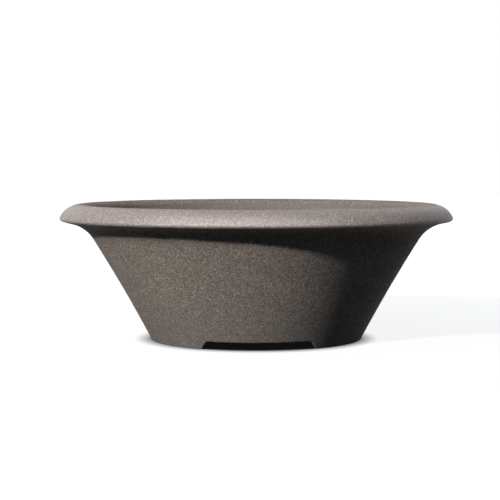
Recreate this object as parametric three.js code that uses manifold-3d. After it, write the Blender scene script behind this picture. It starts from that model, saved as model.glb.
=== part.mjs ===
// A round conical bonsai pot, made ready for planting. One fired clay body carries a rolled lip and
// three feet. Over each drain hole lies a plastic net, held by a bent wire clip, and three tie wires
// come up through pairs of small holes to hold the roots.
// Millimetres, +Z up, with the origin on the pot's axis at the level of its feet.
import * as THREE from 'three';
import { mergeVertices } from 'three/addons/utils/BufferGeometryUtils.js';
import Module from 'manifold-3d';

const { degToRad } = THREE.MathUtils;

// Clay body
const rimDiameter = 300;
const footDiameter = 161.5;
const potHeight = 103.2;
const wallThickness = 10;
const wallFlareRadius = 1180;
const floorThickness = 8;
const floorFilletRadius = 10;

// Lip: a convex crown, a tight nose, a sloping underside and a cove into the wall
const lipOverhang = 19.75;
const lipDrop = 10.4;
const crownRadius = 17.1;
const noseRadius = 1.9;
const undersideAngle = degToRad(15.9);
const coveRadius = 27.4;

// Foot ring and the gaps that part it into feet
const footCount = 3;
const footHeight = 7;
const footWidth = 12;
const footEdgeRadius = 1.2;
const recessFilletRadius = 2;
const footGapWidth = 82;
const footGapHeight = 6;
const footGapSlant = 3;
const footGapCornerRadius = 2.5;

// Holes in the floor
const drainHoleDiameter = 22;
const drainCircleDiameter = 74;
const tieHoleDiameter = 5;
const tieHoleSpacing = 14;
const tieCircleDiameter = 100;

// Drain nets
const netGapsAcross = 9;
const netGapWidth = 2.6;
const netStrandWidth = 0.9;
const netThickness = 1;
const netDrawnTurn = degToRad(17);

// Net clips: two legs go down through the net, two wings lie on it, two arms lie under the floor
const clipWireDiameter = 1.2;
const clipLegGapCount = 2;
const clipBendRadius = 1.5;
const clipWingLength = 8;
const clipWingWidth = 6.4;
const clipWingBendRadius = 2.6;
const clipWaist = 8;
const clipArmOverlap = 7;

// Tie wires
const tieWireDiameter = 2;
const tieBendRadius = 2.5;
const tieEndBelowRim = 22;

// A piece that rests on another lies this far from it
const restGap = 0.3;

// Facets
const latheSegments = 72;
const holeSegments = 24;
const gapCornerSegments = 4;
const wireSides = 6;
const clipStep = 2.2;
const tieStep = 3.5;
const wallRouteSteps = 4;

const rimRadius = rimDiameter / 2;
const footRadius = footDiameter / 2;
const floorBottom = footHeight;
const floorTop = floorBottom + floorThickness;
const netPitch = netGapWidth + netStrandWidth;
const netWidth = netGapsAcross * netPitch + netStrandWidth;
const netBottom = floorTop + restGap;

// Each of a pair of tie holes stands this far to one side of the middle of a foot
const tieHalfAngle = Math.asin(tieHoleSpacing / tieCircleDiameter);

// Lip centres, and the neck, where the straight underside would meet the wall
const noseCentre = new THREE.Vector2(rimRadius - noseRadius, potHeight - lipDrop);
const crownStartAngle = Math.asin((crownRadius - lipDrop) / (crownRadius - noseRadius));
const crownCentre = new THREE.Vector2(
  noseCentre.x - (crownRadius - noseRadius) * Math.cos(crownStartAngle),
  potHeight - crownRadius,
);
const undersideNormal = new THREE.Vector2(Math.sin(undersideAngle), -Math.cos(undersideAngle));
const undersideDirection = new THREE.Vector2(Math.cos(undersideAngle), Math.sin(undersideAngle));
const undersideEnd = noseCentre.clone().addScaledVector(undersideNormal, noseRadius);
const neckRadius = rimRadius - lipOverhang;
const neck = new THREE.Vector2(
  neckRadius,
  undersideEnd.y - (undersideEnd.x - neckRadius) * Math.tan(undersideAngle),
);

// The wall's outside and inside are arcs about one far centre, which gives the slight flare
const footCorner = new THREE.Vector2(footRadius, 0);
const wallCentre = arcCentre(footCorner, neck, wallFlareRadius);
const innerWallRadius = wallFlareRadius + wallThickness;

function arcCentre(start, end, radius) {
  const chord = end.clone().sub(start);
  const side = new THREE.Vector2(chord.y, -chord.x).normalize();
  const middle = start.clone().add(end).multiplyScalar(0.5);
  return middle.addScaledVector(side, Math.sqrt(radius ** 2 - chord.lengthSq() / 4));
}

// The point at a given height on a circle about the wall's centre, on the pot's side of it
function wallPoint(radius, height) {
  const rise = height - wallCentre.y;
  return new THREE.Vector2(wallCentre.x - Math.sqrt(radius ** 2 - rise ** 2), height);
}

function angleFrom(centre, point) {
  return Math.atan2(point.y - centre.y, point.x - centre.x);
}

function angleToWallCentre(point) {
  return angleFrom(point, wallCentre);
}

function arcPoints(centre, radius, startAngle, endAngle, steps) {
  const clockwise = endAngle < startAngle;
  const arc = new THREE.EllipseCurve(centre.x, centre.y, radius, radius, startAngle, endAngle, clockwise);
  return arc.getPoints(steps);
}

// The cove touches the wall's arc and the straight underside of the lip
function coveCentrePoint() {
  const onLine = undersideEnd.clone().addScaledVector(undersideNormal, coveRadius);
  const offset = onLine.clone().sub(wallCentre);
  const along = offset.dot(undersideDirection);
  const reach = (wallFlareRadius - coveRadius) ** 2 - offset.lengthSq() + along ** 2;
  return onLine.addScaledVector(undersideDirection, -along - Math.sqrt(reach));
}

// Half of the body's cut section, from the middle of the underside round to the middle of the floor
function bodySection() {
  const recessRadius = footRadius - footWidth;
  const recessCentre = new THREE.Vector2(recessRadius - recessFilletRadius, floorBottom - recessFilletRadius);
  const innerEdgeCentre = new THREE.Vector2(recessRadius + footEdgeRadius, footEdgeRadius);
  const outerEdgeCentre = wallPoint(wallFlareRadius + footEdgeRadius, footEdgeRadius);
  const coveCentre = coveCentrePoint();
  const wallToCove = angleToWallCentre(coveCentre) + Math.PI;
  const noseStart = undersideAngle - Math.PI / 2;

  // One arc rolls the crown over into the inside wall, touching both
  const rise = potHeight - wallCentre.y;
  const run = crownCentre.x - wallCentre.x;
  const mouthRadius = (innerWallRadius ** 2 - run ** 2 - rise ** 2) / (2 * (innerWallRadius - rise));
  const mouthCentre = new THREE.Vector2(crownCentre.x, potHeight - mouthRadius);
  const filletCentre = wallPoint(innerWallRadius + floorFilletRadius, floorTop + floorFilletRadius);

  return [
    new THREE.Vector2(0, floorBottom),
    ...arcPoints(recessCentre, recessFilletRadius, Math.PI / 2, 0, 3),
    ...arcPoints(innerEdgeCentre, footEdgeRadius, Math.PI, 1.5 * Math.PI, 2),
    ...arcPoints(outerEdgeCentre, footEdgeRadius, -Math.PI / 2, angleToWallCentre(outerEdgeCentre), 2),
    ...wallArc(wallFlareRadius, outerEdgeCentre, coveCentre, 2),
    ...arcPoints(coveCentre, coveRadius, wallToCove, Math.PI / 2 + undersideAngle, 5),
    ...arcPoints(noseCentre, noseRadius, noseStart, 0, 3),
    ...arcPoints(noseCentre, noseRadius, 0, crownStartAngle, 2).slice(1),
    ...arcPoints(crownCentre, crownRadius, crownStartAngle, Math.PI / 2, 4).slice(1),
    ...arcPoints(mouthCentre, mouthRadius, Math.PI / 2, angleToWallCentre(mouthCentre) + Math.PI, 4).slice(1),
    ...wallArc(innerWallRadius, mouthCentre, filletCentre, 2),
    ...arcPoints(filletCentre, floorFilletRadius, angleToWallCentre(filletCentre), -Math.PI / 2, 4),
    new THREE.Vector2(0, floorTop),
  ];
}

// Points of a wall arc strictly between the two rounds that it runs into
function wallArc(radius, fromCentre, toCentre, steps) {
  const start = angleToWallCentre(fromCentre) + Math.PI;
  const end = angleToWallCentre(toCentre) + Math.PI;
  return arcPoints(wallCentre, radius, start, end, steps).slice(1, -1);
}

const wasm = await Module();
wasm.setup();

function toSolid(geometry) {
  const bare = geometry.clone();
  bare.deleteAttribute('normal');
  bare.deleteAttribute('uv');
  const merged = mergeVertices(bare);
  const triangles = [];
  for (let i = 0; i < merged.index.count; i += 3) {
    const [a, b, c] = [0, 1, 2].map((corner) => merged.index.getX(i + corner));
    if (a !== b && b !== c && c !== a) {
      triangles.push(a, b, c);
    }
  }
  const vertProperties = new Float32Array(merged.attributes.position.array);
  const triVerts = new Uint32Array(triangles);
  return new wasm.Manifold(new wasm.Mesh({ numProp: 3, vertProperties, triVerts }));
}

function toGeometry(solid) {
  const { vertProperties, triVerts } = solid.getMesh();
  const geometry = new THREE.BufferGeometry();
  geometry.setAttribute('position', new THREE.BufferAttribute(new Float32Array(vertProperties), 3));
  geometry.setIndex(new THREE.BufferAttribute(new Uint32Array(triVerts), 1));
  return geometry;
}

// Drains and foot gaps share their bearings, and the tie wires stand over the feet between them
function gapBearing(index) {
  return -Math.PI / 2 + (2 * Math.PI * index) / footCount;
}

function footBearing(index) {
  return gapBearing(index) + Math.PI / footCount;
}

// A straight cut through the foot ring, along +X, with sloping ends and rounded upper corners
function footGapCutter() {
  const bottomHalf = footGapWidth / 2;
  const topHalf = bottomHalf - footGapSlant;
  const slope = Math.atan2(footGapHeight, footGapSlant);
  const setback = footGapCornerRadius / Math.tan((Math.PI - slope) / 2);
  const below = footHeight;
  const belowHalf = bottomHalf + (footGapSlant * below) / footGapHeight;
  const shape = new THREE.Shape();
  shape.moveTo(-belowHalf, -below);
  shape.lineTo(belowHalf, -below);
  const cornerX = topHalf + setback * Math.cos(slope);
  const cornerZ = footGapHeight - setback * Math.sin(slope);
  shape.lineTo(cornerX, cornerZ);
  shape.quadraticCurveTo(topHalf, footGapHeight, topHalf - setback, footGapHeight);
  shape.lineTo(setback - topHalf, footGapHeight);
  shape.quadraticCurveTo(-topHalf, footGapHeight, -cornerX, cornerZ);
  const settings = { depth: rimRadius, bevelEnabled: false, curveSegments: gapCornerSegments };
  const geometry = new THREE.ExtrudeGeometry(shape, settings);
  return geometry.rotateX(Math.PI / 2).rotateZ(Math.PI / 2);
}

function floorHoleCutter(diameter) {
  const depth = floorThickness + footHeight;
  const geometry = new THREE.CylinderGeometry(diameter / 2, diameter / 2, depth, holeSegments);
  return geometry.rotateX(Math.PI / 2).translate(0, 0, floorBottom + floorThickness / 2);
}

function potBody() {
  let solid = toSolid(new THREE.LatheGeometry(bodySection(), latheSegments).rotateX(Math.PI / 2));
  for (let i = 0; i < footCount; i += 1) {
    const drain = floorHoleCutter(drainHoleDiameter).translate(drainCircleDiameter / 2, 0, 0);
    const drainCuts = [footGapCutter(), drain].map((cut) => cut.rotateZ(gapBearing(i)));
    const tieCuts = [-1, 1].map((side) => {
      const hole = floorHoleCutter(tieHoleDiameter).translate(tieCircleDiameter / 2, 0, 0);
      return hole.rotateZ(footBearing(i) + side * tieHalfAngle);
    });
    for (const cut of [...drainCuts, ...tieCuts]) {
      solid = solid.subtract(toSolid(cut));
    }
  }
  return toGeometry(solid);
}

// The net is drawn turned, so that no two of its corners lie level, and the mesh is turned back
function drainNet() {
  const square = (x, y, width) => {
    const half = width / 2;
    const corners = [[-half, -half], [half, -half], [half, half], [-half, half]];
    const about = new THREE.Vector2();
    return corners.map(([dx, dy]) => new THREE.Vector2(x + dx, y + dy).rotateAround(about, netDrawnTurn));
  };
  const shape = new THREE.Shape(square(0, 0, netWidth));
  const first = (-(netGapsAcross - 1) / 2) * netPitch;
  for (let row = 0; row < netGapsAcross; row += 1) {
    for (let column = 0; column < netGapsAcross; column += 1) {
      const gap = square(first + row * netPitch, first + column * netPitch, netGapWidth);
      shape.holes.push(new THREE.Path(gap));
    }
  }
  const geometry = new THREE.ExtrudeGeometry(shape, { depth: netThickness, bevelEnabled: false });
  return geometry.rotateZ(-netDrawnTurn);
}

// A route through corner points, each rounded to its own bend radius
function roundedRoute(corners) {
  const route = new THREE.CurvePath();
  let from = corners[0].point;
  for (let i = 1; i < corners.length - 1; i += 1) {
    const { point, bend } = corners[i];
    const back = corners[i - 1].point.clone().sub(point).normalize();
    const ahead = corners[i + 1].point.clone().sub(point).normalize();
    const setback = bend / Math.tan(back.angleTo(ahead) / 2);
    const bendStart = point.clone().addScaledVector(back, setback);
    const bendEnd = point.clone().addScaledVector(ahead, setback);
    route.add(new THREE.LineCurve3(from, bendStart));
    route.add(new THREE.QuadraticBezierCurve3(bendStart, point, bendEnd));
    from = bendEnd;
  }
  route.add(new THREE.LineCurve3(from, corners.at(-1).point));
  return route;
}

function roundWire(corners, diameter, step) {
  const route = roundedRoute(corners);
  const circle = new THREE.EllipseCurve(0, 0, diameter / 2, diameter / 2);
  const section = new THREE.Shape(circle.getPoints(wireSides).slice(0, wireSides));
  const steps = Math.ceil(route.getLength() / step);
  return new THREE.ExtrudeGeometry(section, { steps, extrudePath: route, bevelEnabled: false });
}

// The clip's wire, from one arm under the floor to the other, about the middle of its drain hole
function netClip() {
  const leg = clipLegGapCount * netPitch;
  const wing = leg + clipWingLength;
  const half = clipWingWidth / 2;
  const arm = drainHoleDiameter / 2 + clipArmOverlap;
  const under = floorBottom - restGap - clipWireDiameter / 2;
  const over = netBottom + netThickness + restGap + clipWireDiameter / 2;
  const oneSide = (side) => [
    { point: new THREE.Vector3(0, side * arm, under) },
    { point: new THREE.Vector3(0, side * leg, under), bend: clipBendRadius },
    { point: new THREE.Vector3(0, side * leg, over), bend: clipBendRadius },
    { point: new THREE.Vector3(side * half, side * wing, over), bend: clipWingBendRadius },
    { point: new THREE.Vector3(-side * half, side * wing, over), bend: clipWingBendRadius },
    { point: new THREE.Vector3(-side * half, (side * clipWaist) / 2, over), bend: clipWingBendRadius },
  ];
  return roundWire([...oneSide(1), ...oneSide(-1).reverse()], clipWireDiameter, clipStep);
}

// The tie wire's two ends rise through their holes, lie out along the floor and follow the wall up
function tieWire() {
  const seat = restGap + tieWireDiameter / 2;
  const under = floorBottom - seat;
  const over = floorTop + seat;
  const wallSeat = innerWallRadius + seat;
  const top = potHeight - tieEndBelowRim;
  const wallFoot = wallPoint(wallSeat, over);
  const upAxis = new THREE.Vector3(0, 0, 1);
  const oneSide = (side) => {
    const bearing = side * tieHalfAngle;
    const at = (radius, height) => new THREE.Vector3(radius, 0, height).applyAxisAngle(upAxis, bearing);
    const upWall = [];
    for (let i = wallRouteSteps; i > 0; i -= 1) {
      const place = wallPoint(wallSeat, over + ((top - over) * i) / wallRouteSteps);
      upWall.push({ point: at(place.x, place.y), bend: floorFilletRadius });
    }
    return [
      ...upWall,
      { point: at(wallFoot.x, over), bend: floorFilletRadius - seat },
      { point: at(tieCircleDiameter / 2, over), bend: tieBendRadius },
      { point: at(tieCircleDiameter / 2, under), bend: tieBendRadius },
    ];
  };
  return roundWire([...oneSide(1), ...oneSide(-1).reverse()], tieWireDiameter, tieStep);
}

function piece(name, geometry, color, roughness, metalness) {
  const mesh = new THREE.Mesh(geometry, new THREE.MeshStandardMaterial({ color, roughness, metalness }));
  mesh.name = name;
  return mesh;
}

const pot = new THREE.Group();
pot.add(piece('pot_body', potBody(), 0x70675e, 0.75, 0));

for (let i = 0; i < footCount; i += 1) {
  const net = piece(`drain_net_${i + 1}`, drainNet(), 0x1b1c1b, 0.6, 0);
  const clip = piece(`net_clip_${i + 1}`, netClip(), 0x6b4a35, 0.4, 1);
  net.position.z = netBottom;
  const drain = new THREE.Group();
  drain.add(net, clip);
  drain.position.x = drainCircleDiameter / 2;
  const drainArm = new THREE.Group();
  drainArm.add(drain);
  drainArm.rotation.z = gapBearing(i);

  const tie = piece(`tie_wire_${i + 1}`, tieWire(), 0x6b4a35, 0.4, 1);
  tie.rotation.z = footBearing(i);
  pot.add(drainArm, tie);
}

export default pot;
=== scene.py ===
import math
import bpy
from mathutils import Matrix, Vector


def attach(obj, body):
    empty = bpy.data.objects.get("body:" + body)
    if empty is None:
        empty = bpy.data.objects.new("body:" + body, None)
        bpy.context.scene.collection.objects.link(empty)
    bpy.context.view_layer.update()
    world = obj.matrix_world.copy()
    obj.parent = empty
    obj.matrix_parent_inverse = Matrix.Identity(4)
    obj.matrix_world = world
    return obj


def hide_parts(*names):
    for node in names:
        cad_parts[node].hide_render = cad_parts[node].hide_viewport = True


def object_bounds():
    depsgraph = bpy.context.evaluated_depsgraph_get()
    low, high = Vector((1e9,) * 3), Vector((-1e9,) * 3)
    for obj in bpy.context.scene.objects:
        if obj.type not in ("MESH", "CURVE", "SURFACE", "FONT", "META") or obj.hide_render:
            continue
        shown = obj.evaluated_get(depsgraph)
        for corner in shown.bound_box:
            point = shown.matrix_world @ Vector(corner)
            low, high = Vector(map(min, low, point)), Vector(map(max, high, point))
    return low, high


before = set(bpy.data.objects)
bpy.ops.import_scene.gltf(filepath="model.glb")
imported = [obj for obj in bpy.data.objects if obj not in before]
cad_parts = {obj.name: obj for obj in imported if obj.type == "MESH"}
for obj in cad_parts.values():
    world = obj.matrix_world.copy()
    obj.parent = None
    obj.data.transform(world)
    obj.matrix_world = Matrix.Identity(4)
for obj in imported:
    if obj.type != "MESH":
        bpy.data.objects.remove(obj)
cadLow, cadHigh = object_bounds()
scene = bpy.context.scene
mm = 0.001
weldReach = 0.004 * mm
hardBend = math.radians(55)
print("frame loaded")


# Node helpers, used by every tree below

def add(tree, kind, inputs=None, **settings):
    node = tree.nodes.new(kind)
    for name, value in settings.items():
        setattr(node, name, value)
    for key, value in (inputs or {}).items():
        if isinstance(value, bpy.types.NodeSocket):
            tree.links.new(value, node.inputs[key])
        else:
            node.inputs[key].default_value = value
    return node


def made(tree, kind, inputs=None, **settings):
    return add(tree, kind, inputs, **settings).outputs[0]


def maths(tree, operation, *values):
    return made(tree, "ShaderNodeMath", dict(enumerate(values)), operation=operation)


def vectorMaths(tree, operation, *values):
    return made(tree, "ShaderNodeVectorMath", dict(enumerate(values)), operation=operation)


# A length or a dot product, which Blender gives at another output
def measured(tree, operation, *values):
    node = add(tree, "ShaderNodeVectorMath", dict(enumerate(values)), operation=operation)
    return node.outputs["Value"]


def scaled(tree, vector, factor):
    return made(tree, "ShaderNodeVectorMath", {0: vector, "Scale": factor}, operation="SCALE")


def upwards(tree, height):
    return made(tree, "ShaderNodeCombineXYZ", {2: height})


def joined(tree, *parts):
    node = tree.nodes.new("GeometryNodeJoinGeometry")
    for part in parts:
        tree.links.new(part, node.inputs[0])
    return node.outputs[0]


def newTree(name, inputs):
    tree = bpy.data.node_groups.new(name, "GeometryNodeTree")
    tree.interface.new_socket("Geometry", in_out="INPUT", socket_type="NodeSocketGeometry")
    for label, kind in inputs.items():
        tree.interface.new_socket(label, in_out="INPUT", socket_type="NodeSocket" + kind)
    tree.interface.new_socket("Geometry", in_out="OUTPUT", socket_type="NodeSocketGeometry")
    return tree, tree.nodes.new("NodeGroupInput").outputs


def closeTree(tree, geometry):
    tree.links.new(geometry, tree.nodes.new("NodeGroupOutput").inputs[0])


# Out from the pot's axis, up, and round to a bearing
def setAround(tree, geometry, circle, height, bearing):
    out = made(tree, "ShaderNodeCombineXYZ", {0: circle, 2: height})
    moved = made(tree, "GeometryNodeTransform", {"Geometry": geometry, "Translation": out})
    return made(tree, "GeometryNodeTransform", {"Geometry": moved, "Rotation": upwards(tree, bearing)})


# Realize, weld, smooth and paint: the end of every tree that makes a piece
def finishTree(tree, geometry, material, weld=weldReach):
    solid = made(tree, "GeometryNodeRealizeInstances", {0: geometry})
    welded = made(tree, "GeometryNodeMergeByDistance", {"Geometry": solid, "Distance": weld})
    smooth = made(tree, "GeometryNodeSetShadeSmooth", {"Geometry": welded, "Shade Smooth": True})
    bend = add(tree, "GeometryNodeInputMeshEdgeAngle").outputs["Unsigned Angle"]
    hard = made(tree, "FunctionNodeCompare", {0: bend, 1: hardBend}, operation="GREATER_THAN")
    edged = made(tree, "GeometryNodeSetShadeSmooth",
                {"Geometry": smooth, "Selection": hard, "Shade Smooth": False}, domain="EDGE")
    closeTree(tree, made(tree, "GeometryNodeSetMaterial", {"Geometry": edged, "Material": material}))


def runTree(source, tree, values):
    modifier = source.modifiers.new(tree.name, "NODES")
    modifier.node_group = tree
    for item in tree.interface.items_tree:
        if item.in_out == "INPUT" and item.name in values:
            modifier[item.identifier] = values[item.name]
    source.data.update()
    evaluated = source.evaluated_get(bpy.context.evaluated_depsgraph_get())
    mesh = bpy.data.meshes.new_from_object(evaluated)
    source.modifiers.remove(modifier)
    return mesh


def placePiece(name, mesh, material, replaced):
    piece = bpy.data.objects.new(name, mesh)
    scene.collection.objects.link(piece)
    mesh.materials.clear()
    mesh.materials.append(material)
    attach(piece, "root")
    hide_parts(replaced)
    print("made", name, len(mesh.polygons), "faces")


def pointsObject(name, points, edges=()):
    mesh = bpy.data.meshes.new(name)
    mesh.from_pydata(points, edges, [])
    source = bpy.data.objects.new(name, mesh)
    scene.collection.objects.link(source)
    return source


def newMaterial(name):
    material = bpy.data.materials.new(name)
    material.use_nodes = True
    tree = material.node_tree
    shader = tree.nodes["Principled BSDF"]
    place = add(tree, "ShaderNodeTexCoord").outputs["Object"]
    return material, tree, shader, place


def noise(tree, place, scale, detail=2.0, roughness=0.5):
    inputs = {"Vector": place, "Scale": scale, "Detail": detail, "Roughness": roughness}
    return made(tree, "ShaderNodeTexNoise", inputs)


def spread(tree, value, low, high, newLow, newHigh):
    inputs = {0: value, 1: low, 2: high, 3: newLow, 4: newHigh}
    return made(tree, "ShaderNodeMapRange", inputs)


def mixColour(tree, factor, first, second, blend="MIX"):
    node = add(tree, "ShaderNodeMix", {0: factor, 6: first, 7: second}, data_type="RGBA", blend_type=blend)
    return node.outputs[2]


def bump(tree, height, strength, distance, normal=None):
    inputs = {"Height": height, "Strength": strength, "Distance": distance}
    if normal:
        inputs["Normal"] = normal
    return made(tree, "ShaderNodeBump", inputs)


# Fired clay: warm grey brown, sandy, with pale and dark specks and a few turning lines

clayLook = {
    "ground": (0.262, 0.224, 0.192, 1),
    "shade": (0.100, 0.084, 0.071, 1),
    "paleSpeck": (0.58, 0.54, 0.50, 1),
    "darkSpeck": (0.050, 0.042, 0.036, 1),
    "baseGrey": (0.130, 0.120, 0.112, 1),
    "baseGreyLevel": (10 * mm, 46 * mm),
    "rubbedLevel": (0.2 * mm, 1.6 * mm),
    "baseGreyShare": 0.75,
    "rubbedShare": 0.8,
    "gritScale": 1300,
    "speckScale": 800,
    "grainBlend": 0.35,
    "grainDome": (0.1, 0.6),
    "speckEdge": (0.3, 0.7),
    "mottle": (21, 4, 0.6),  # scale, detail and roughness, here and below
    "patches": (126, 3, 0.6),
    "dust": (2860, 2, 0.6),
    "rings": (900, 2, 0.6),
    "ringStretch": (0.04, 0.04, 1.0),
    "toneShares": (0.50, 0.18, 0.12, 0.20),  # grit, mottle, patches, dust
    "toneRange": (0.22, 0.78),
    "toneMiddle": 0.45,
    "glintFrom": (0.86, 0.92),
    "glintShare": 0.40,
    "paleFrom": 0.985,
    "paleShare": 0.75,
    "darkBelow": 0.06,
    "darkShare": 0.45,
    "roughness": (0.56, 0.72),
    "specular": 0.01,
    "insideShade": 0.10,
    "insideCalm": 0.6,
    "lipCalm": 0.2,
    "lipGlintLoss": 0.5,
    "lipPaleAndSheenTint": (1.16, 1.13, 1.17, 1),
    "lipRoughness": 0.46,
    "lipSpecular": 0.20,
    "lipLevel": (90.6 * mm, 92.6 * mm),
    "lipReach": (135.0 * mm, 142.0 * mm),
    "crestShare": 0.1,
    "ringBump": (0.25, 0.25 * mm),
    "grainBump": (0.4, 0.15 * mm),
}


def firedClay():
    material, tree, shader, place = newMaterial("fired_clay")
    inside = add(tree, "ShaderNodeAttribute", attribute_name="inside").outputs["Fac"]
    height = add(tree, "ShaderNodeSeparateXYZ", {0: place}).outputs[2]
    radius = measured(tree, "LENGTH", vectorMaths(tree, "MULTIPLY", place, (1, 1, 0)))

    # The lip is burnished from its crest out to the nose
    burnished = maths(tree, "MULTIPLY", spread(tree, height, *clayLook["lipLevel"], 0, 1),
                      spread(tree, radius, *clayLook["lipReach"], clayLook["crestShare"], 1))

    # Packed grains: each cell has two values of its own and is raised in its middle
    def grains(scale):
        inputs = {"Vector": place, "Scale": scale, "Smoothness": clayLook["grainBlend"]}
        cells = add(tree, "ShaderNodeTexVoronoi", inputs, feature="SMOOTH_F1").outputs
        own = add(tree, "ShaderNodeSeparateColor", {0: cells["Color"]}).outputs
        return own[0], own[1], spread(tree, cells["Distance"], *clayLook["grainDome"], 1, 0)

    grit, gritChance, gritDome = grains(clayLook["gritScale"])
    speckChance, speckDome = grains(clayLook["speckScale"])[1:]
    mottle = noise(tree, place, *clayLook["mottle"])
    patches = noise(tree, place, *clayLook["patches"])
    dust = noise(tree, place, *clayLook["dust"])

    # Darker inside, and a calmer grain both there and on the lip
    tone = maths(tree, "MULTIPLY", inside, -clayLook["insideShade"])
    for layer, share in zip((grit, mottle, patches, dust), clayLook["toneShares"]):
        tone = maths(tree, "MULTIPLY_ADD", layer, share, tone)
    calm = maths(tree, "MAXIMUM", maths(tree, "MULTIPLY", inside, clayLook["insideCalm"]),
                 maths(tree, "MULTIPLY", burnished, clayLook["lipCalm"]))
    tone = maths(tree, "MULTIPLY_ADD", maths(tree, "SUBTRACT", clayLook["toneMiddle"], tone), calm, tone)
    tone = spread(tree, tone, *clayLook["toneRange"], 0, 1)
    colour = mixColour(tree, tone, clayLook["shade"], clayLook["ground"])

    # Glints in the grit, fewer inside and on the lip, then pale and dark specks
    loss = maths(tree, "MULTIPLY_ADD", burnished, clayLook["lipGlintLoss"], inside)
    glint = maths(tree, "SUBTRACT", spread(tree, gritChance, *clayLook["glintFrom"], 0, 1), loss)
    glint = maths(tree, "MULTIPLY", maths(tree, "MAXIMUM", glint, 0), clayLook["glintShare"])
    colour = mixColour(tree, glint, colour, clayLook["paleSpeck"])
    speckShape = spread(tree, speckDome, *clayLook["speckEdge"], 0, 1)
    pale = maths(tree, "MULTIPLY", maths(tree, "GREATER_THAN", speckChance, clayLook["paleFrom"]), speckShape)
    dark = maths(tree, "MULTIPLY", maths(tree, "LESS_THAN", speckChance, clayLook["darkBelow"]), speckShape)
    for mask, share, tint in ((pale, "paleShare", "paleSpeck"), (dark, "darkShare", "darkSpeck")):
        colour = mixColour(tree, maths(tree, "MULTIPLY", mask, clayLook[share]), colour, clayLook[tint])

    # Greyer and darker towards the base, rubbed paler where the feet stand, and a paler, bluish lip that is
    # partly smoother clay and partly painted sheen
    low = spread(tree, height, *clayLook["baseGreyLevel"], clayLook["baseGreyShare"], 0)
    colour = mixColour(tree, maths(tree, "MULTIPLY", low, mottle), colour, clayLook["baseGrey"])
    standing = spread(tree, height, *clayLook["rubbedLevel"], clayLook["rubbedShare"], 0)
    colour = mixColour(tree, maths(tree, "MULTIPLY", standing, patches), colour, clayLook["ground"])
    # The lip's pale, bluish tint is partly painted sheen
    colour = mixColour(tree, burnished, colour, clayLook["lipPaleAndSheenTint"], "MULTIPLY")
    tree.links.new(colour, shader.inputs["Base Color"])

    # Grainy and almost without sheen, except on the lip
    smooth, rough = clayLook["roughness"]
    grainy = spread(tree, grit, 0, 1, rough, smooth)
    smoother = maths(tree, "SUBTRACT", clayLook["lipRoughness"], grainy)
    tree.links.new(maths(tree, "MULTIPLY_ADD", smoother, burnished, grainy), shader.inputs["Roughness"])
    sheen = spread(tree, burnished, 0, 1, clayLook["specular"], clayLook["lipSpecular"])
    tree.links.new(sheen, shader.inputs["Specular IOR Level"])

    # Faint rings from the wheel, sand and specks
    stretched = vectorMaths(tree, "MULTIPLY", place, clayLook["ringStretch"])
    normal = bump(tree, noise(tree, stretched, *clayLook["rings"]), *clayLook["ringBump"])
    normal = bump(tree, gritDome, *clayLook["grainBump"], normal)
    normal = bump(tree, maths(tree, "SUBTRACT", pale, dark), *clayLook["grainBump"], normal)
    tree.links.new(normal, shader.inputs["Normal"])
    return material


# The pot's section, in metres, as radius and height

potShape = {
    "wall": 10 * mm, "flareRadius": 1180 * mm, "floor": 8 * mm, "floorFillet": 10 * mm,
    "footRadius": 80.75 * mm, "footHeight": 7 * mm, "footWidth": 12 * mm,
    "footEdge": 1.2 * mm, "recessFillet": 2 * mm,
    "lipOverhang": 19.75 * mm, "lipDrop": 10.4 * mm, "crownRadius": 17.1 * mm, "noseRadius": 1.9 * mm,
    "undersideAngle": math.radians(15.9), "coveRadius": 27.4 * mm,
    "gapWidth": 82 * mm, "gapHeight": 6 * mm, "gapSlant": 3 * mm, "gapSoftness": 2.2 * mm,
    "edgeSoftness": 1.6 * mm, "feet": 3, "segments": 600,
    "drainRadius": 11 * mm, "drainCircle": 37 * mm, "drainEdge": 1.4 * mm, "drainSegments": 72,
    "tieRadius": 2.5 * mm, "tieCircle": 50 * mm, "tieSpacing": 14 * mm, "tieEdge": 0.7 * mm,
    "tieSegments": 24,
    "unevenness": 0.35 * mm, "unevenScale": 34, "evenAboveFloor": (0.5 * mm, 15 * mm),
    "innerRings": 0.22 * mm, "ringPitch": 7.5 * mm, "ringDrift": 9, "insideFrom": (-20 * mm, -50 * mm),
    "lowWallInGaps": 1.6, "undersideRim": 1.5 * mm, "floorRim": 1 * mm, "weld": 0.02 * mm,
}
sectionSteps = {
    "recess": 5, "footInside": 8, "footEdge": 4, "footUnder": 6, "lowWall": 14, "outerWall": 22, "cove": 12,
    "lipUnder": 4, "nose": 11, "crown": 12, "mouth": 9, "innerWall": 36, "floorFillet": 8, "holeEdge": 6,
}
rimRadius = cadHigh.x
potHeight = cadHigh.z
floorBottom = potShape["footHeight"]
floorTop = floorBottom + potShape["floor"]
innerWallRadius = potShape["flareRadius"] + potShape["wall"]
tieHalfAngle = math.asin(potShape["tieSpacing"] / 2 / potShape["tieCircle"])


def arc(centre, radius, start, end, steps):
    turns = [start + (end - start) * i / steps for i in range(steps + 1)]
    return [Vector((centre[0] + radius * math.cos(t), centre[1] + radius * math.sin(t))) for t in turns]


def line(start, end, steps):
    return [start.lerp(end, i / steps) for i in range(1, steps)]


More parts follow.
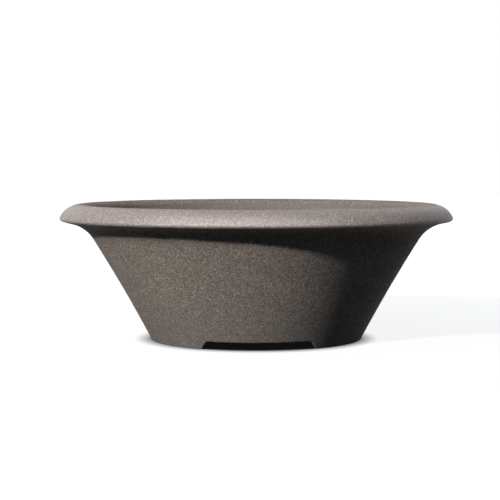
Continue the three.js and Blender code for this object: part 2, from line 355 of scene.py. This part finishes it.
lean = potShape["undersideAngle"]
undersideNormal = Vector((math.sin(lean), -math.cos(lean)))
undersideDirection = Vector((math.cos(lean), math.sin(lean)))
noseCentre = Vector((rimRadius - potShape["noseRadius"], potHeight - potShape["lipDrop"]))
crownReach = potShape["crownRadius"] - potShape["noseRadius"]
crownStart = math.asin((potShape["crownRadius"] - potShape["lipDrop"]) / crownReach)
crownInset = crownReach * math.cos(crownStart)
crownCentre = Vector((noseCentre.x - crownInset, potHeight - potShape["crownRadius"]))
undersideEnd = noseCentre + undersideNormal * potShape["noseRadius"]
neckRadius = rimRadius - potShape["lipOverhang"]
neck = Vector((neckRadius, undersideEnd.y - (undersideEnd.x - neckRadius) * math.tan(lean)))
footCorner = Vector((potShape["footRadius"], 0))
chord = neck - footCorner
chordSide = Vector((chord.y, -chord.x)).normalized()
flareReach = math.sqrt(potShape["flareRadius"] ** 2 - chord.length_squared / 4)
wallCentre = (footCorner + neck) / 2 + chordSide * flareReach


# A point at some height on a circle about the wall's far centre
def wallPoint(radius, height):
    return Vector((wallCentre.x - math.sqrt(radius ** 2 - (height - wallCentre.y) ** 2), height))


def towardsWallCentre(point):
    return math.atan2(wallCentre.y - point.y, wallCentre.x - point.x)


def outerWallRun(low, high, steps):
    heights = [low.y + (high.y - low.y) * i / steps for i in range(1, steps)]
    return [wallPoint(potShape["flareRadius"], height) for height in heights]


def potSection():
    steps = sectionSteps
    recess = potShape["footRadius"] - potShape["footWidth"]
    fillet, edge, cove = potShape["recessFillet"], potShape["footEdge"], potShape["coveRadius"]
    right = math.pi / 2
    recessCentre = Vector((recess - fillet, floorBottom - fillet))
    innerEdge = Vector((recess + edge, edge))
    outerEdge = wallPoint(potShape["flareRadius"] + edge, edge)
    onLine = undersideEnd + undersideNormal * cove
    offset = onLine - wallCentre
    along = offset.dot(undersideDirection)
    reach = (potShape["flareRadius"] - cove) ** 2 - offset.length_squared + along ** 2
    coveCentre = onLine + undersideDirection * (-along - math.sqrt(reach))
    rise, run = potHeight - wallCentre.y, crownCentre.x - wallCentre.x
    mouthRadius = (innerWallRadius ** 2 - run ** 2 - rise ** 2) / (2 * (innerWallRadius - rise))
    mouthCentre = Vector((crownCentre.x, potHeight - mouthRadius))
    floorFillet = potShape["floorFillet"]
    filletCentre = wallPoint(innerWallRadius + floorFillet, floorTop + floorFillet)

    mouthEnd = towardsWallCentre(mouthCentre) + math.pi
    innerWallEnd = towardsWallCentre(filletCentre) + math.pi

    underside = arc(recessCentre, fillet, right, 0, steps["recess"])
    footInside = arc(innerEdge, edge, math.pi, 1.5 * math.pi, steps["footEdge"])
    footOutside = arc(outerEdge, edge, -right, towardsWallCentre(outerEdge), steps["footEdge"])
    lowWall = wallPoint(potShape["flareRadius"], potShape["gapHeight"] * potShape["lowWallInGaps"])
    coveArc = arc(coveCentre, cove, towardsWallCentre(coveCentre) + math.pi, right + lean, steps["cove"])
    noseArc = arc(noseCentre, potShape["noseRadius"], lean - right, crownStart, steps["nose"])
    crownArc = arc(crownCentre, potShape["crownRadius"], crownStart, right, steps["crown"])
    mouthArc = arc(mouthCentre, mouthRadius, right, mouthEnd, steps["mouth"])
    innerWall = arc(wallCentre, innerWallRadius, mouthEnd, innerWallEnd, steps["innerWall"])[1:-1]
    filletArc = arc(filletCentre, floorFillet, towardsWallCentre(filletCentre), -right, steps["floorFillet"])
    start = Vector((recessCentre.x - potShape["undersideRim"], floorBottom))
    end = Vector((filletCentre.x - potShape["floorRim"], floorTop))
    return (
        [start] + underside + line(underside[-1], footInside[0], steps["footInside"]) + footInside
        + line(footInside[-1], footOutside[0], steps["footUnder"]) + footOutside
        + line(footOutside[-1], lowWall, steps["lowWall"]) + [lowWall]
        + outerWallRun(lowWall, coveArc[0], steps["outerWall"]) + coveArc
        + line(coveArc[-1], noseArc[0], steps["lipUnder"]) + noseArc + crownArc[1:] + mouthArc[1:]
        + innerWall + filletArc + [end]
    )


section = potSection()
print("section has", len(section), "points")


# Any section turned about Z
def revolveTree():
    tree, given = newTree("revolve_section", {"Segments": "Int"})
    count = add(tree, "GeometryNodeAttributeDomainSize", {0: given["Geometry"]}).outputs["Point Count"]
    columns = maths(tree, "ADD", given["Segments"], 1)
    grid = add(tree, "GeometryNodeMeshGrid", {"Vertices X": columns, "Vertices Y": count})
    uv = add(tree, "ShaderNodeSeparateXYZ", {0: grid.outputs["UV Map"]}).outputs
    row = maths(tree, "ROUND", maths(tree, "MULTIPLY", uv[1], maths(tree, "SUBTRACT", count, 1)))
    position = made(tree, "GeometryNodeInputPosition")
    sample = add(tree, "GeometryNodeSampleIndex", {"Geometry": given["Geometry"], "Index": row},
                 data_type="FLOAT_VECTOR", domain="POINT")
    tree.links.new(position, sample.inputs["Value"])
    spot = add(tree, "ShaderNodeSeparateXYZ", {0: sample.outputs[0]}).outputs
    turn = maths(tree, "MULTIPLY", uv[0], 2 * math.pi)
    x = maths(tree, "MULTIPLY", spot[0], maths(tree, "COSINE", turn))
    y = maths(tree, "MULTIPLY", spot[0], maths(tree, "SINE", turn))
    place = made(tree, "ShaderNodeCombineXYZ", {0: x, 1: y, 2: spot[2]})
    closeTree(tree, made(tree, "GeometryNodeSetPosition", {"Geometry": grid.outputs[0], "Position": place}))
    return tree


revolveSection = revolveTree()


def turned(tree, geometry, segments):
    group = tree.nodes.new("GeometryNodeGroup")
    group.node_tree = revolveSection
    tree.links.new(geometry, group.inputs["Geometry"])
    tree.links.new(segments, group.inputs["Segments"])
    return group.outputs[0]


# The whole pot: turned section, lifted foot gaps, and a floor with its holes
def potTree():
    tree, given = newTree("bonsai_pot", {
        "Segments": "Int", "Feet": "Int", "Gap Half Width": "Float", "Gap Height": "Float",
        "Gap Slope": "Float", "Gap Softness": "Float", "Edge Softness": "Float",
        "Unevenness": "Float", "Inner Rings": "Float",
        "Floor Top": "Float", "Floor Bottom": "Float", "Top Radius": "Float", "Bottom Radius": "Float",
        "Drain Section": "Object", "Drain Segments": "Int", "Drain Circle": "Float", "Drain Rim": "Float",
        "Tie Section": "Object", "Tie Segments": "Int", "Tie Circle": "Float", "Tie Rim": "Float",
        "Tie Half Angle": "Float", "Clay": "Material",
    })
    shell = turned(tree, given["Geometry"], given["Segments"])
    position = made(tree, "GeometryNodeInputPosition")
    spot = add(tree, "ShaderNodeSeparateXYZ", {0: position}).outputs
    radius = measured(tree, "LENGTH", vectorMaths(tree, "MULTIPLY", position, (1, 1, 0)))
    bearing = maths(tree, "ARCTAN2", spot[1], spot[0])

    # Each gap is a straight cut, so its height depends on the distance from its middle line
    sector = maths(tree, "DIVIDE", 2 * math.pi, given["Feet"])
    half = maths(tree, "DIVIDE", sector, 2)
    fromFront = maths(tree, "ADD", bearing, math.pi / 2)
    local = maths(tree, "WRAP", fromFront, half, maths(tree, "MULTIPLY", half, -1))
    across = maths(tree, "ABSOLUTE", maths(tree, "MULTIPLY", radius, maths(tree, "SINE", local)))
    toEdge = maths(tree, "SUBTRACT", given["Gap Half Width"], across)
    ramp = maths(tree, "MULTIPLY", toEdge, given["Gap Slope"])
    roof = maths(tree, "SMOOTH_MIN", ramp, given["Gap Height"], given["Gap Softness"])
    lifted = maths(tree, "SMOOTH_MAX", spot[2], roof, given["Edge Softness"])
    place = made(tree, "ShaderNodeCombineXYZ", {0: spot[0], 1: spot[1], 2: lifted})
    footed = made(tree, "GeometryNodeSetPosition", {"Geometry": shell, "Position": place})

    # Slight unevenness of the hand-finished wall, and soft rings inside it
    normal = made(tree, "GeometryNodeInputNormal")
    wander = maths(tree, "SUBTRACT", noise(tree, position, potShape["unevenScale"], 2), 0.5)
    evenTo, fullFrom = (floorTop + rise for rise in potShape["evenAboveFloor"])
    clear = spread(tree, spot[2], evenTo, fullFrom, 0, 1)
    drift = maths(tree, "MULTIPLY", wander, potShape["ringDrift"])
    perMetre = 2 * math.pi / potShape["ringPitch"]
    wave = maths(tree, "SINE", maths(tree, "MULTIPLY_ADD", spot[2], perMetre, drift))
    facing = measured(tree, "DOT_PRODUCT", normal, position)
    inside = spread(tree, facing, *potShape["insideFrom"], 0, 1)
    push = maths(tree, "MULTIPLY", maths(tree, "MULTIPLY", wave, inside), given["Inner Rings"])
    push = maths(tree, "MULTIPLY", maths(tree, "MULTIPLY_ADD", wander, given["Unevenness"], push), clear)
    offset = scaled(tree, normal, push)
    uneven = made(tree, "GeometryNodeSetPosition", {"Geometry": footed, "Offset": offset})
    marked = {"Geometry": uneven, "Name": "inside", "Value": inside}
    wall = made(tree, "GeometryNodeStoreNamedAttribute", marked, data_type="FLOAT", domain="POINT")

    # Hole places: a drain behind each gap, a pair of tie holes over each foot
    def holePoints(circle, startAngle):
        ring = made(tree, "GeometryNodeMeshCircle", {"Vertices": given["Feet"], "Radius": circle})
        turn = upwards(tree, startAngle)
        return made(tree, "GeometryNodeTransform", {"Geometry": ring, "Rotation": turn})

    footAngle = maths(tree, "SUBTRACT", half, math.pi / 2)
    drains = holePoints(given["Drain Circle"], -math.pi / 2)
    tieRings = [holePoints(given["Tie Circle"], maths(tree, sign, footAngle, given["Tie Half Angle"]))
                for sign in ("ADD", "SUBTRACT")]
    ties = joined(tree, *tieRings)

    def onPoints(points, item):
        placed = made(tree, "GeometryNodeInstanceOnPoints", {"Points": points, "Instance": item})
        return made(tree, "GeometryNodeRealizeInstances", {0: placed})

    def circleCurve(segments, size):
        return made(tree, "GeometryNodeCurvePrimitiveCircle", {"Resolution": segments, "Radius": size})

    drainHoles = onPoints(drains, circleCurve(given["Drain Segments"], given["Drain Rim"]))
    tieHoles = onPoints(ties, circleCurve(given["Tie Segments"], given["Tie Rim"]))

    def floorFace(size, height):
        outline = joined(tree, circleCurve(given["Segments"], size), drainHoles, tieHoles)
        face = made(tree, "GeometryNodeFillCurve", {"Curve": outline})
        return made(tree, "GeometryNodeTransform", {"Geometry": face, "Translation": upwards(tree, height)})

    top = floorFace(given["Top Radius"], given["Floor Top"])
    bottom = floorFace(given["Bottom Radius"], given["Floor Bottom"])
    bottom = made(tree, "GeometryNodeFlipFaces", {0: bottom})

    def liners(points, sectionObject, segments):
        edge = add(tree, "GeometryNodeObjectInfo", {"Object": sectionObject}).outputs["Geometry"]
        return onPoints(points, turned(tree, edge, segments))

    drainLiners = liners(drains, given["Drain Section"], given["Drain Segments"])
    tieLiners = liners(ties, given["Tie Section"], given["Tie Segments"])
    whole = joined(tree, wall, top, bottom, drainLiners, tieLiners)
    finishTree(tree, whole, given["Clay"], potShape["weld"])
    return tree


# The rounded edge of a hole, from the floor's top to its underside
def holeSection(name, radius, edge):
    steps = sectionSteps["holeEdge"]
    upper = arc((radius + edge, floorTop - edge), edge, math.pi / 2, math.pi, steps)
    lower = arc((radius + edge, floorBottom + edge), edge, math.pi, 1.5 * math.pi, steps)
    return pointsObject(name, [(p.x, 0, p.y) for p in upper + lower])


clay = firedClay()
potSource = pointsObject("pot_section", [(p.x, 0, p.y) for p in section])
drainSection = holeSection("drain_section", potShape["drainRadius"], potShape["drainEdge"])
tieSection = holeSection("tie_section", potShape["tieRadius"], potShape["tieEdge"])
potMesh = runTree(potSource, potTree(), {
    "Segments": potShape["segments"], "Feet": potShape["feet"],
    "Gap Half Width": potShape["gapWidth"] / 2, "Gap Height": potShape["gapHeight"],
    "Gap Slope": potShape["gapHeight"] / potShape["gapSlant"], "Gap Softness": potShape["gapSoftness"],
    "Edge Softness": potShape["edgeSoftness"], "Unevenness": potShape["unevenness"],
    "Inner Rings": potShape["innerRings"], "Floor Top": floorTop, "Floor Bottom": floorBottom,
    "Top Radius": section[-1].x, "Bottom Radius": section[0].x,
    "Drain Section": drainSection, "Drain Segments": potShape["drainSegments"],
    "Drain Circle": potShape["drainCircle"], "Drain Rim": potShape["drainRadius"] + potShape["drainEdge"],
    "Tie Section": tieSection, "Tie Segments": potShape["tieSegments"],
    "Tie Circle": potShape["tieCircle"], "Tie Rim": potShape["tieRadius"] + potShape["tieEdge"],
    "Tie Half Angle": tieHalfAngle, "Clay": clay,
})
for source in (potSource, drainSection, tieSection):
    bpy.data.objects.remove(source)
placePiece("clay_pot", potMesh, clay, "pot_body")


# Black moulded net plastic

netLook = {
    "colour": (0.012, 0.013, 0.012, 1), "dust": (0.060, 0.056, 0.050, 1), "roughness": (0.36, 0.58),
    "specular": 0.10, "film": (260, 3, 0.6), "grains": (1900, 2, 0.5), "filmRange": (0.45, 0.75),
    "dustShare": 0.8, "grainRange": (0.4, 0.7), "glossRange": (0.3, 0.7), "bump": (0.2, 0.05 * mm),
}


def netPlastic():
    material, tree, shader, place = newMaterial("net_plastic")
    film = noise(tree, place, *netLook["film"])
    grains = noise(tree, place, *netLook["grains"])
    dust = spread(tree, film, *netLook["filmRange"], 0, netLook["dustShare"])
    dust = maths(tree, "MULTIPLY", dust, spread(tree, grains, *netLook["grainRange"], 0, 1))
    tree.links.new(mixColour(tree, dust, netLook["colour"], netLook["dust"]), shader.inputs["Base Color"])
    gloss = spread(tree, film, *netLook["glossRange"], *netLook["roughness"])
    tree.links.new(gloss, shader.inputs["Roughness"])
    shader.inputs["Specular IOR Level"].default_value = netLook["specular"]
    tree.links.new(bump(tree, grains, *netLook["bump"]), shader.inputs["Normal"])
    return material


# Brown anodised aluminium wire, a little rubbed and uneven

wireLook = {
    "colour": (0.170, 0.090, 0.052, 1), "worn": (0.29, 0.19, 0.125, 1), "roughness": (0.30, 0.46),
    "cloud": (180, 4, 0.6), "drawn": (2400, 2, 0.6), "cloudRange": (0.42, 0.72), "wornShare": 0.7,
    "drawnRange": (0.35, 0.65), "drawnLeast": 0.4, "glossRange": (0.3, 0.7), "bump": (0.15, 0.04 * mm),
}


def brownWire():
    material, tree, shader, place = newMaterial("brown_wire")
    cloud = noise(tree, place, *wireLook["cloud"])
    drawn = noise(tree, place, *wireLook["drawn"])
    worn = spread(tree, cloud, *wireLook["cloudRange"], 0, wireLook["wornShare"])
    streaks = spread(tree, drawn, *wireLook["drawnRange"], wireLook["drawnLeast"], 1)
    worn = maths(tree, "MULTIPLY", worn, streaks)
    tree.links.new(mixColour(tree, worn, wireLook["colour"], wireLook["worn"]), shader.inputs["Base Color"])
    gloss = spread(tree, drawn, *wireLook["glossRange"], *wireLook["roughness"])
    tree.links.new(gloss, shader.inputs["Roughness"])
    shader.inputs["Metallic"].default_value = 1.0
    tree.links.new(bump(tree, drawn, *wireLook["bump"]), shader.inputs["Normal"])
    return material


# Drain nets: a square lattice whose strands are drawn from a grid and rounded

netShape = {"gaps": 9, "gapWidth": 2.6 * mm, "strand": 0.9 * mm, "thickness": 1 * mm, "lift": 0.3 * mm,
            "crease": 0.72, "levels": 2, "waver": 0.10 * mm, "waverScale": 120, "openFrom": 0.98}


def netTree():
    tree, given = newTree("drain_net", {
        "Gaps": "Int", "Gap Width": "Float", "Strand": "Float", "Thickness": "Float", "Base": "Float",
        "Crease": "Float", "Levels": "Int", "Waver": "Float", "Circle": "Float", "Bearing": "Float",
        "Plastic": "Material",
    })
    lines = maths(tree, "MULTIPLY_ADD", given["Gaps"], 2, 2)
    grid = add(tree, "GeometryNodeMeshGrid", {"Vertices X": lines, "Vertices Y": lines})
    uv = add(tree, "ShaderNodeSeparateXYZ", {0: grid.outputs["UV Map"]}).outputs
    pitch = maths(tree, "ADD", given["Gap Width"], given["Strand"])
    middle = maths(tree, "DIVIDE", given["Gaps"], 2)

    # Every strand lies between an even line and the odd one after it
    def linePlace(share):
        index = maths(tree, "ROUND", maths(tree, "MULTIPLY", share, maths(tree, "SUBTRACT", lines, 1)))
        strand = maths(tree, "FLOOR", maths(tree, "DIVIDE", index, 2))
        side = maths(tree, "SUBTRACT", maths(tree, "MODULO", index, 2), 0.5)
        centre = maths(tree, "MULTIPLY", maths(tree, "SUBTRACT", strand, middle), pitch)
        return maths(tree, "MULTIPLY_ADD", side, given["Strand"], centre)

    flatPlace = made(tree, "ShaderNodeCombineXYZ", {0: linePlace(uv[0]), 1: linePlace(uv[1])})
    flat = made(tree, "GeometryNodeSetPosition", {"Geometry": grid.outputs[0], "Position": flatPlace})
    area = made(tree, "GeometryNodeInputMeshFaceArea")
    limit = maths(tree, "MULTIPLY", maths(tree, "POWER", given["Gap Width"], 2), netShape["openFrom"])
    gap = made(tree, "FunctionNodeCompare", {0: area, 1: limit}, operation="GREATER_THAN")
    lattice = made(tree, "GeometryNodeDeleteGeometry", {0: flat, 1: gap}, domain="FACE")
    up = upwards(tree, given["Thickness"])
    raised = made(tree, "GeometryNodeExtrudeMesh",
                  {"Mesh": lattice, "Offset": up, "Offset Scale": 1.0, "Individual": False})
    both = joined(tree, raised, made(tree, "GeometryNodeFlipFaces", {0: lattice}))
    block = made(tree, "GeometryNodeMergeByDistance", {"Geometry": both, "Distance": weldReach})
    rounded = made(tree, "GeometryNodeSubdivisionSurface",
                  {"Mesh": block, "Level": given["Levels"], "Edge Crease": given["Crease"]})
    position = made(tree, "GeometryNodeInputPosition")
    wander = maths(tree, "SUBTRACT", noise(tree, position, netShape["waverScale"], 1), 0.5)
    sway = upwards(tree, maths(tree, "MULTIPLY", wander, given["Waver"]))
    swayed = made(tree, "GeometryNodeSetPosition", {"Geometry": rounded, "Offset": sway})
    placed = setAround(tree, swayed, given["Circle"], given["Base"], given["Bearing"])
    finishTree(tree, placed, given["Plastic"])
    return tree


# Bent wire: corner points with their bend radii, rounded and swept with a round section

wireShape = {"sides": 14, "bendSteps": 8, "cuts": 3, "clipDiameter": 1.2 * mm, "tieDiameter": 2 * mm,
             "tieWaver": 0.25 * mm, "waverScale": 60}
clipShape = {"legGaps": 2, "bend": 1.5 * mm, "wingLength": 8 * mm, "wingWidth": 6.4 * mm,
             "wingBend": 2.6 * mm, "waist": 8 * mm, "armOverlap": 7 * mm, "gap": 0.3 * mm}
tieShape = {"bend": 2.5 * mm, "endBelowRim": 22 * mm, "gap": 0.3 * mm, "wallSteps": 4}


def wireTree():
    tree, given = newTree("bent_wire", {
        "Diameter": "Float", "Sides": "Int", "Bend Steps": "Int", "Waver": "Float",
        "Circle": "Float", "Bearing": "Float", "Metal": "Material",
    })
    route = made(tree, "GeometryNodeMeshToCurve", {0: given["Geometry"]})
    radius = made(tree, "GeometryNodeInputNamedAttribute", {"Name": "bend"}, data_type="FLOAT")
    bent = made(tree, "GeometryNodeFilletCurve",
                {"Curve": route, "Radius": radius, "Count": given["Bend Steps"]}, mode="POLY")
    drawn = made(tree, "GeometryNodeSubdivideCurve", {"Curve": bent, "Cuts": wireShape["cuts"]})
    position = made(tree, "GeometryNodeInputPosition")
    swayInputs = {"Vector": position, "Scale": wireShape["waverScale"], "Detail": 1}
    wander = add(tree, "ShaderNodeTexNoise", swayInputs).outputs["Color"]
    sway = scaled(tree, vectorMaths(tree, "SUBTRACT", wander, (0.5, 0.5, 0.5)), given["Waver"])
    handBent = made(tree, "GeometryNodeSetPosition", {"Geometry": drawn, "Offset": sway})
    half = maths(tree, "DIVIDE", given["Diameter"], 2)
    ring = made(tree, "GeometryNodeCurvePrimitiveCircle", {"Resolution": given["Sides"], "Radius": half})
    swept = made(tree, "GeometryNodeCurveToMesh",
                 {"Curve": handBent, "Profile Curve": ring, "Fill Caps": True})
    placed = setAround(tree, swept, given["Circle"], 0.0, given["Bearing"])
    finishTree(tree, placed, given["Metal"])
    return tree


def routeObject(name, corners):
    edges = [(i, i + 1) for i in range(len(corners) - 1)]
    source = pointsObject(name, [point for point, bend in corners], edges)
    bends = source.data.attributes.new("bend", "FLOAT", "POINT")
    bends.data.foreach_set("value", [bend for point, bend in corners])
    return source


# From one arm under the floor, up through the net, over both wings and down to the other arm
def clipRoute():
    pitch = netShape["gapWidth"] + netShape["strand"]
    leg = clipShape["legGaps"] * pitch
    wing = leg + clipShape["wingLength"]
    half = clipShape["wingWidth"] / 2
    arm = potShape["drainRadius"] + clipShape["armOverlap"]
    seat = clipShape["gap"] + wireShape["clipDiameter"] / 2
    under = floorBottom - seat
    over = floorTop + netShape["lift"] + netShape["thickness"] + seat

    def oneSide(side):
        return [
            ((0, side * arm, under), 0),
            ((0, side * leg, under), clipShape["bend"]),
            ((0, side * leg, over), clipShape["bend"]),
            ((side * half, side * wing, over), clipShape["wingBend"]),
            ((-side * half, side * wing, over), clipShape["wingBend"]),
            ((-side * half, side * clipShape["waist"] / 2, over), clipShape["wingBend"]),
        ]
    return oneSide(1) + oneSide(-1)[::-1]


# Two ends up through their holes, out along the floor and up the wall
def tieRoute():
    seat = tieShape["gap"] + wireShape["tieDiameter"] / 2
    under, over = floorBottom - seat, floorTop + seat
    top = potHeight - tieShape["endBelowRim"]
    wallSeat = innerWallRadius + seat

    def oneSide(side):
        def at(radius, height):
            return (radius * math.cos(side * tieHalfAngle), radius * math.sin(side * tieHalfAngle), height)
        corners = []
        for i in range(tieShape["wallSteps"], 0, -1):
            place = wallPoint(wallSeat, over + (top - over) * i / tieShape["wallSteps"])
            corners.append((at(place.x, place.y), 0))
        corners.append((at(wallPoint(wallSeat, over).x, over), potShape["floorFillet"] - seat))
        corners.append((at(potShape["tieCircle"], over), tieShape["bend"]))
        corners.append((at(potShape["tieCircle"], under), tieShape["bend"]))
        return corners
    return oneSide(1) + oneSide(-1)[::-1]


plastic, metal = netPlastic(), brownWire()
drainNetTree, bentWireTree = netTree(), wireTree()
clipSource = routeObject("clip_route", clipRoute())
tieSource = routeObject("tie_route", tieRoute())
netSource = pointsObject("net_place", [(0, 0, 0)])
for index in range(potShape["feet"]):
    gapBearing = -math.pi / 2 + 2 * math.pi * index / potShape["feet"]
    footBearing = gapBearing + math.pi / potShape["feet"]
    netMesh = runTree(netSource, drainNetTree, {
        "Gaps": netShape["gaps"], "Gap Width": netShape["gapWidth"], "Strand": netShape["strand"],
        "Thickness": netShape["thickness"], "Base": floorTop + netShape["lift"],
        "Crease": netShape["crease"], "Levels": netShape["levels"], "Waver": netShape["waver"],
        "Circle": potShape["drainCircle"], "Bearing": gapBearing, "Plastic": plastic,
    })
    placePiece(f"net_{index + 1}", netMesh, plastic, f"drain_net_{index + 1}")
    wireInputs = {"Sides": wireShape["sides"], "Bend Steps": wireShape["bendSteps"], "Metal": metal}
    clipMesh = runTree(clipSource, bentWireTree, {
        **wireInputs, "Diameter": wireShape["clipDiameter"], "Waver": 0.0,
        "Circle": potShape["drainCircle"], "Bearing": gapBearing,
    })
    placePiece(f"clip_{index + 1}", clipMesh, metal, f"net_clip_{index + 1}")
    tieMesh = runTree(tieSource, bentWireTree, {
        **wireInputs, "Diameter": wireShape["tieDiameter"], "Waver": wireShape["tieWaver"],
        "Circle": 0.0, "Bearing": footBearing,
    })
    placePiece(f"tie_{index + 1}", tieMesh, metal, f"tie_wire_{index + 1}")
for source in (clipSource, tieSource, netSource):
    bpy.data.objects.remove(source)


# Camera, at the photograph's place

view = {"bearing": -1.4, "distance": 1116.9 * mm, "height": 138.3 * mm, "lens": 104.65,
        "sensor": 36, "aimSide": -4.76 * mm, "aimHeight": 67.5 * mm}
camera = bpy.data.objects.new("camera", bpy.data.cameras.new("camera"))
scene.collection.objects.link(camera)
scene.camera = camera
camera.data.lens = view["lens"]
camera.data.sensor_width = view["sensor"]
orbit = Matrix.Rotation(math.radians(view["bearing"]), 4, "Z")
camera.location = orbit @ Vector((0, -view["distance"], view["height"]))
aim = orbit @ Vector((view["aimSide"], 0, view["aimHeight"]))
camera.rotation_euler = (aim - camera.location).to_track_quat("-Z", "Y").to_euler()


# Pale floor and white surroundings, with the pot's shadow kept on the floor and a painted contact shadow
# around and under the pot

stageLook = {"floorSize": 8.0, "fade": (0.25, 0.9), "glow": (0.88, 1.0), "matte": 0.16, "bounce": 0.02,
             "ambient": 0.20, "sky": (0.74, 0.92, 1.18, 1), "contact": 24 * mm, "contactRange": (0.16, 0.60),
             "contactSamples": 32, "paintedShadowUnderPot": (66 * mm, 84 * mm), "darkest": 0.006}


def seenDirectly(tree):
    path = add(tree, "ShaderNodeLightPath").outputs
    seen = maths(tree, "MAXIMUM", path["Is Camera Ray"], path["Is Glossy Ray"])
    return maths(tree, "MAXIMUM", seen, path["Is Transmission Ray"])


def paleFloor():
    material = bpy.data.materials.new("pale_floor")
    material.use_nodes = True
    tree = material.node_tree
    tree.nodes.remove(tree.nodes["Principled BSDF"])
    place = add(tree, "ShaderNodeTexCoord").outputs["Object"]
    away = measured(tree, "LENGTH", place)
    glow = spread(tree, away, *stageLook["fade"], *stageLook["glow"])
    # Painted shadow: ambient occlusion near the pot and a disc under it darken the floor's glow and matte
    # tone
    paintedShadowOpenness = add(tree, "ShaderNodeAmbientOcclusion", {"Distance": stageLook["contact"]},
                   samples=stageLook["contactSamples"]).outputs["AO"]
    paintedShadowOpenness = spread(tree, paintedShadowOpenness, *stageLook["contactRange"], 0, 1)
    clear = spread(tree, away, *stageLook["paintedShadowUnderPot"], 0, 1)
    paintedShadowOpenness = maths(tree, "MAXIMUM", maths(tree, "MULTIPLY", paintedShadowOpenness, clear), stageLook["darkest"])
    light = made(tree, "ShaderNodeEmission", {"Strength": maths(tree, "MULTIPLY", glow, paintedShadowOpenness)})
    tone = maths(tree, "MULTIPLY", paintedShadowOpenness, stageLook["matte"])
    matte = made(tree, "ShaderNodeBsdfDiffuse", {"Color": tone})
    lit = made(tree, "ShaderNodeAddShader", {0: light, 1: matte})
    dim = made(tree, "ShaderNodeBsdfDiffuse", {"Color": (*[stageLook["bounce"]] * 3, 1)})
    mixed = made(tree, "ShaderNodeMixShader", {0: seenDirectly(tree), 1: dim, 2: lit})
    tree.links.new(mixed, tree.nodes["Material Output"].inputs["Surface"])
    return material


floorHalf = stageLook["floorSize"] / 2
floorMesh = bpy.data.meshes.new("floor")
corners = [(x * floorHalf, y * floorHalf, 0) for x, y in ((-1, -1), (1, -1), (1, 1), (-1, 1))]
floorMesh.from_pydata(corners, [], [(0, 1, 2, 3)])
floorMesh.materials.append(paleFloor())
floor = bpy.data.objects.new("floor", floorMesh)
scene.collection.objects.link(floor)

world = bpy.data.worlds.new("studio")
scene.world = world
world.use_nodes = True
worldTree = world.node_tree
background = worldTree.nodes["Background"]
seen = seenDirectly(worldTree)
worldTree.links.new(mixColour(worldTree, seen, stageLook["sky"], (1, 1, 1, 1)), background.inputs["Color"])
worldTree.links.new(spread(worldTree, seen, 0, 1, stageLook["ambient"], 1), background.inputs["Strength"])


# Lamps: a key at the left front, a soft one above, a card that adds only sheen and a weak matte fill

lamps = {
    "key": {"bearing": -38, "rise": 23.3, "distance": 3.0, "size": 0.16, "power": 118,
            "colour": (1, 0.985, 0.96), "adds": "all"},
    "soft": {"bearing": -70, "rise": 64, "distance": 1.2, "size": 0.9, "power": 2.2,
             "colour": (1, 1, 1), "adds": "all"},
    "card": {"bearing": -18, "rise": 38, "distance": 1.3, "size": 2.4, "power": 150,
             "colour": (0.95, 0.98, 1.08), "adds": "sheen"},
    "fill": {"bearing": 150, "rise": 12, "distance": 2.2, "size": 0.8, "power": 14,
             "colour": (0.86, 0.94, 1), "adds": "matte"},
}
lampAim = Vector((0, 0, 60 * mm))
for name, look in lamps.items():
    data = bpy.data.lights.new(name, "AREA")
    data.shape = "DISK"
    data.size = look["size"]
    data.energy = look["power"]
    data.color = look["colour"]
    lamp = bpy.data.objects.new(name, data)
    lamp.visible_diffuse = look["adds"] != "sheen"
    lamp.visible_glossy = look["adds"] != "matte"
    scene.collection.objects.link(lamp)
    turn, rise = math.radians(look["bearing"]), math.radians(look["rise"])
    out = Vector((math.sin(turn) * math.cos(rise), -math.cos(turn) * math.cos(rise), math.sin(rise)))
    lamp.location = lampAim + out * look["distance"]
    lamp.rotation_euler = (-out).to_track_quat("-Z", "Y").to_euler()
print("stage, camera and lamps are set")

scene.view_settings.view_transform = "Standard"
